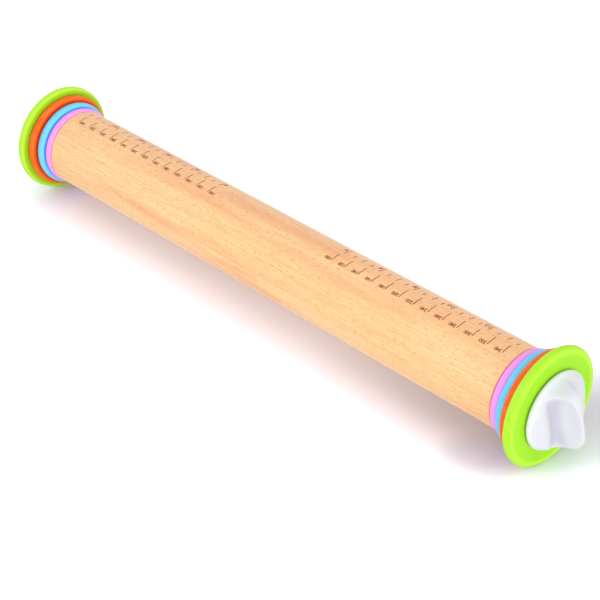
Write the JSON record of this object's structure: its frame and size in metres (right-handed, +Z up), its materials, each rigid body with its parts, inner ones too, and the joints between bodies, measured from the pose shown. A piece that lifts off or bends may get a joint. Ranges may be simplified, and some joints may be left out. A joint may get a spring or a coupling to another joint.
{
  "type": "adjustable rolling pin",
  "caption": "Beech rolling pin with stepped, removable coloured spacer rings at both ends that set the dough's thickness, held on by screw-in finger knobs.",
  "frame": {"origin": "centre of the roller, on its axis", "axes": "+X along the roller's axis, +Z up, away from the surface that the outer rings roll on"},
  "size_m": [0.4392, 0.0658, 0.0658],
  "materials": {
    "beech": "fine sanded beech, lightly oiled",
    "pink": "satin moulded plastic",
    "blue": "satin moulded plastic",
    "orange": "satin moulded plastic",
    "green": "satin moulded plastic",
    "white": "soft gloss moulded plastic",
    "grey": "plain moulded plastic"
  },
  "bodies": {
    "roller": {"roller_body": "beech", "left_threaded_insert": "grey", "right_threaded_insert": "grey"},
    "left_screw": {"left_knob_stud": "white"},
    "left_grip": {"left_knob": "white"},
    "left_pink_spacer": {"left_pink_ring": "pink"},
    "left_blue_spacer": {"left_blue_ring": "blue"},
    "left_orange_spacer": {"left_orange_ring": "orange"},
    "left_green_spacer": {"left_green_ring": "green"},
    "right_screw": {"right_knob_stud": "white"},
    "right_grip": {"right_knob": "white"},
    "right_pink_spacer": {"right_pink_ring": "pink"},
    "right_blue_spacer": {"right_blue_ring": "blue"},
    "right_orange_spacer": {"right_orange_ring": "orange"},
    "right_green_spacer": {"right_green_ring": "green"}
  },
  "joints": [
    {"name": "left_stud_travel", "type": "slide", "parent": "roller", "child": "left_screw", "axis": [-1, 0, 0], "range_m": [0, 0.065]},
    {"name": "left_knob_turn", "type": "hinge", "parent": "left_screw", "child": "left_grip", "pos_m": [-0.2, 0, 0], "axis": [-1, 0, 0], "range_deg": [0, 4680]},
    {"name": "left_pink_off", "type": "slide", "parent": "roller", "child": "left_pink_spacer", "axis": [-1, 0, 0], "range_m": [0, 0.004]},
    {"name": "left_blue_off", "type": "slide", "parent": "roller", "child": "left_blue_spacer", "axis": [-1, 0, 0], "range_m": [0, 0.008]},
    {"name": "left_orange_off", "type": "slide", "parent": "roller", "child": "left_orange_spacer", "axis": [-1, 0, 0], "range_m": [0, 0.012]},
    {"name": "left_green_off", "type": "slide", "parent": "roller", "child": "left_green_spacer", "axis": [-1, 0, 0], "range_m": [0, 0.016]},
    {"name": "right_stud_travel", "type": "slide", "parent": "roller", "child": "right_screw", "axis": [1, 0, 0], "range_m": [0, 0.065]},
    {"name": "right_knob_turn", "type": "hinge", "parent": "right_screw", "child": "right_grip", "pos_m": [0.2, 0, 0], "axis": [1, 0, 0], "range_deg": [0, 4680]},
    {"name": "right_pink_off", "type": "slide", "parent": "roller", "child": "right_pink_spacer", "axis": [1, 0, 0], "range_m": [0, 0.004]},
    {"name": "right_blue_off", "type": "slide", "parent": "roller", "child": "right_blue_spacer", "axis": [1, 0, 0], "range_m": [0, 0.008]},
    {"name": "right_orange_off", "type": "slide", "parent": "roller", "child": "right_orange_spacer", "axis": [1, 0, 0], "range_m": [0, 0.012]},
    {"name": "right_green_off", "type": "slide", "parent": "roller", "child": "right_green_spacer", "axis": [1, 0, 0], "range_m": [0, 0.016]}
  ],
  "couplings": [
    {"joint": "left_stud_travel", "follows": "left_knob_turn", "m_per_rad": 0.00079577},
    {"joint": "left_pink_off", "follows": "left_knob_turn", "m_per_rad": 0.00004897},
    {"joint": "left_blue_off", "follows": "left_knob_turn", "m_per_rad": 0.00009794},
    {"joint": "left_orange_off", "follows": "left_knob_turn", "m_per_rad": 0.00014691},
    {"joint": "left_green_off", "follows": "left_knob_turn", "m_per_rad": 0.00019588},
    {"joint": "right_stud_travel", "follows": "right_knob_turn", "m_per_rad": 0.00079577},
    {"joint": "right_pink_off", "follows": "right_knob_turn", "m_per_rad": 0.00004897},
    {"joint": "right_blue_off", "follows": "right_knob_turn", "m_per_rad": 0.00009794},
    {"joint": "right_orange_off", "follows": "right_knob_turn", "m_per_rad": 0.00014691},
    {"joint": "right_green_off", "follows": "right_knob_turn", "m_per_rad": 0.00019588}
  ]
}
